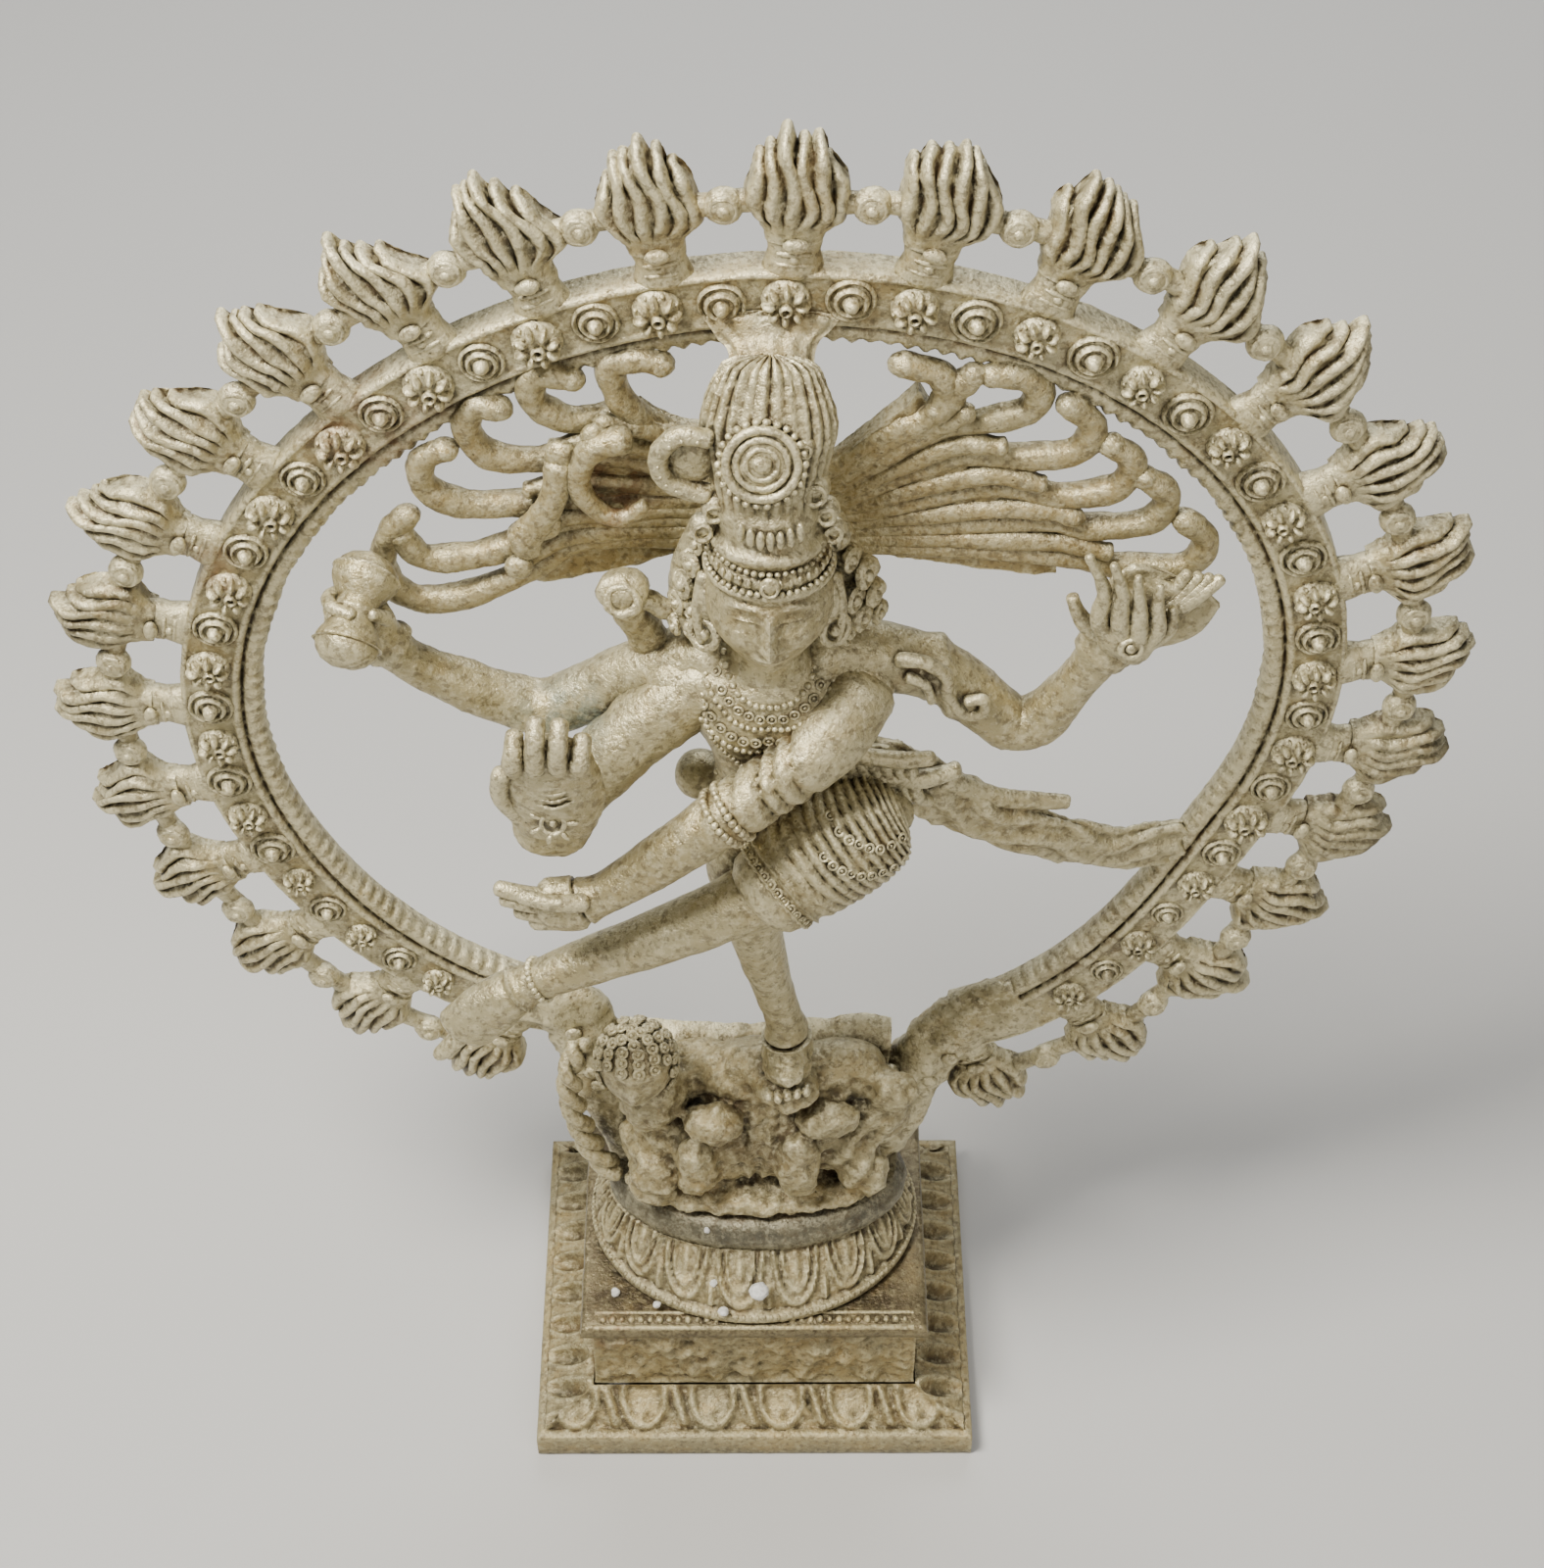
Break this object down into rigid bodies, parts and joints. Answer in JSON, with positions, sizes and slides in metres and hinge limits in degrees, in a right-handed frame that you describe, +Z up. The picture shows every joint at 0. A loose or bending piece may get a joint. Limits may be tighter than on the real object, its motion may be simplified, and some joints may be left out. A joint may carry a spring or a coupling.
{
  "type": "cast brass dancing figure in a flame ring",
  "caption": "Cast brass dancing figure inside an oval ring of linked flames, on a crouching dwarf, a lotus seat and a stepped rectangular pedestal. Stands free on a shelf.",
  "frame": {"origin": "middle of the pedestal's underside, on the surface that it stands on", "axes": "+X to the viewer's right, +Y to the back, +Z up"},
  "size_m": [0.2397, 0.074, 0.2945],
  "materials": {
    "pedestal_brass": "dusty grey-beige patina, olive brown in the recesses",
    "plate_brass": "patina with a dark grey rough edge",
    "ring_brass": "pale patina, golden where worn",
    "figure_brass": "pale patina with green-grey and golden patches",
    "hair_brass": "worn golden brass with pale tips",
    "fixing_steel": "dull zinc-plated steel"
  },
  "bodies": {
    "root": {"arch_band": "ring_brass", "arch_foot_left": "ring_brass", "arch_foot_right": "ring_brass", "arch_web": "ring_brass", "crown": "figure_brass", "crown_bracket": "figure_brass", "dwarf_body": "figure_brass", "dwarf_braid": "figure_brass", "dwarf_head": "figure_brass", "fixing_nut": "fixing_steel", "fixing_stud": "fixing_steel", "fixing_washer": "fixing_steel", "flame_01": "ring_brass", "flame_02": "ring_brass", "flame_03": "ring_brass", "flame_04": "ring_brass", "flame_05": "ring_brass", "flame_06": "ring_brass", "flame_07": "ring_brass", "flame_08": "ring_brass", "flame_09": "ring_brass", "flame_10": "ring_brass", "flame_11": "ring_brass", "flame_12": "ring_brass", "flame_13": "ring_brass", "flame_14": "ring_brass", "flame_15": "ring_brass", "flame_16": "ring_brass", "flame_17": "ring_brass", "flame_18": "ring_brass", "flame_19": "ring_brass", "flame_20": "ring_brass", "flame_21": "ring_brass", "flame_22": "ring_brass", "flame_23": "ring_brass", "flame_24": "ring_brass", "flame_25": "ring_brass", "flame_26": "ring_brass", "flame_27": "ring_brass", "front_arm_left": "figure_brass", "front_arm_right": "figure_brass", "hair_fan_left": "hair_brass", "hair_fan_right": "hair_brass", "hand_drum": "figure_brass", "head": "figure_brass", "knee_cloth": "figure_brass", "lotus_seat": "pedestal_brass", "palm_flame": "figure_brass", "plinth_cap": "pedestal_brass", "plinth_neck": "pedestal_brass", "plinth_slab": "pedestal_brass", "raised_leg": "figure_brass", "rear_arm_left": "figure_brass", "rear_arm_right": "figure_brass", "sash": "figure_brass", "seat_plate": "plate_brass", "shoulder_knob": "figure_brass", "standing_leg": "figure_brass", "torso": "figure_brass"}
  },
  "joints": []
}
